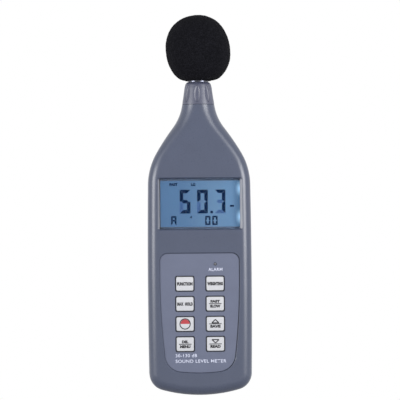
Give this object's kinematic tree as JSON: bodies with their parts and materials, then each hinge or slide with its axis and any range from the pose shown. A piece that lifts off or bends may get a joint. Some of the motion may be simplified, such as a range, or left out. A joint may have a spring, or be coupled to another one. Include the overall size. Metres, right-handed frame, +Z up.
{
  "type": "sound level meter",
  "caption": "Handheld sound level meter with a foam windscreen on a fluted nose, a backlit display, a keypad of push keys and a sliding battery cover.",
  "frame": {"origin": "centre of the tripod socket's mouth, on the flat back", "axes": "+Z up along the meter to its microphone, +Y out of its back, +X to the right as its front is read"},
  "size_m": [0.064, 0.04, 0.2352],
  "materials": {
    "housing": "satin blue-grey paint on moulded plastic",
    "cone": "satin, a little lighter than the housing",
    "dark_metal": "black anodised",
    "black_plastic": "plain moulded",
    "steel": "nickel plated",
    "cell_wrap": "shrink wrap on a steel can",
    "foam": "open-cell foam",
    "window": "clear, polished",
    "display_glass": "polished, blue from the backlight",
    "backlight": "light guide, glowing blue",
    "rubber": "matt silicone",
    "panel": "fine-grained overlay",
    "white_plastic": "satin",
    "led": "tinted, polished",
    "board": "green solder mask",
    "brass": "turned"
  },
  "bodies": {
    "meter": {"front_housing": "housing", "rear_housing": "housing", "nose_cone": "cone", "mic_barrel": "dark_metal", "mic_collar": "dark_metal", "mic_capsule": "black_plastic", "mic_diaphragm": "steel", "mic_grid": "dark_metal", "lcd_window": "window", "lcd_frame": "black_plastic", "lcd_glass": "display_glass", "lcd_backlight": "backlight", "zebra_strip_upper": "rubber", "zebra_strip_lower": "rubber", "keypad_panel": "panel", "keypad_mat": "rubber", "alarm_led": "led", "main_board": "board", "main_chip": "black_plastic", "amplifier_chip": "black_plastic", "crystal": "steel", "mic_connector": "white_plastic", "mic_lead": "black_plastic", "output_jack": "black_plastic", "trimmer_body": "black_plastic", "contact_plate_lower": "steel", "contact_plate_upper": "steel", "tripod_insert": "brass", "battery_1": "cell_wrap", "battery_2": "cell_wrap", "battery_3": "cell_wrap", "battery_4": "cell_wrap", "battery_spring_1": "steel", "battery_spring_2": "steel", "battery_spring_3": "steel", "battery_spring_4": "steel", "housing_screw_1": "steel", "housing_screw_2": "steel", "housing_screw_3": "steel", "housing_screw_4": "steel", "board_screw_1": "steel", "board_screw_2": "steel", "board_screw_3": "steel", "board_screw_4": "steel"},
    "key_mode": {"key_mode": "white_plastic"},
    "key_weighting": {"key_weighting": "white_plastic"},
    "key_hold": {"key_hold": "white_plastic"},
    "key_response": {"key_response": "white_plastic"},
    "key_power": {"key_power": "white_plastic"},
    "key_up": {"key_up": "white_plastic"},
    "key_clear": {"key_clear": "white_plastic"},
    "key_down": {"key_down": "white_plastic"},
    "battery_cover": {"battery_cover": "housing"},
    "windscreen": {"windscreen": "foam"},
    "trimmer_rotor": {"trimmer_rotor": "brass"}
  },
  "joints": [
    {"name": "key_mode_press", "type": "slide", "parent": "meter", "child": "key_mode", "axis": [0, 1, 0], "range_m": [0, 0.0005], "stiffness_N_per_m": 600},
    {"name": "key_weighting_press", "type": "slide", "parent": "meter", "child": "key_weighting", "axis": [0, 1, 0], "range_m": [0, 0.0005], "stiffness_N_per_m": 600},
    {"name": "key_hold_press", "type": "slide", "parent": "meter", "child": "key_hold", "axis": [0, 1, 0], "range_m": [0, 0.0005], "stiffness_N_per_m": 600},
    {"name": "key_response_press", "type": "slide", "parent": "meter", "child": "key_response", "axis": [0, 1, 0], "range_m": [0, 0.0005], "stiffness_N_per_m": 600},
    {"name": "key_power_press", "type": "slide", "parent": "meter", "child": "key_power", "axis": [0, 1, 0], "range_m": [0, 0.0005], "stiffness_N_per_m": 600},
    {"name": "key_up_press", "type": "slide", "parent": "meter", "child": "key_up", "axis": [0, 1, 0], "range_m": [0, 0.0005], "stiffness_N_per_m": 600},
    {"name": "key_clear_press", "type": "slide", "parent": "meter", "child": "key_clear", "axis": [0, 1, 0], "range_m": [0, 0.0005], "stiffness_N_per_m": 600},
    {"name": "key_down_press", "type": "slide", "parent": "meter", "child": "key_down", "axis": [0, 1, 0], "range_m": [0, 0.0005], "stiffness_N_per_m": 600},
    {"name": "battery_cover_slide", "type": "slide", "parent": "meter", "child": "battery_cover", "axis": [0, 0, -1], "range_m": [0, 0.062]},
    {"name": "windscreen_pull", "type": "slide", "parent": "meter", "child": "windscreen", "axis": [0, 0, 1], "range_m": [0, 0.025]},
    {"name": "trimmer_turn", "type": "hinge", "parent": "meter", "child": "trimmer_rotor", "pos_m": [0.0282, -0.0115, -0.014], "axis": [1, 0, 0], "range_deg": [-135, 135]}
  ]
}
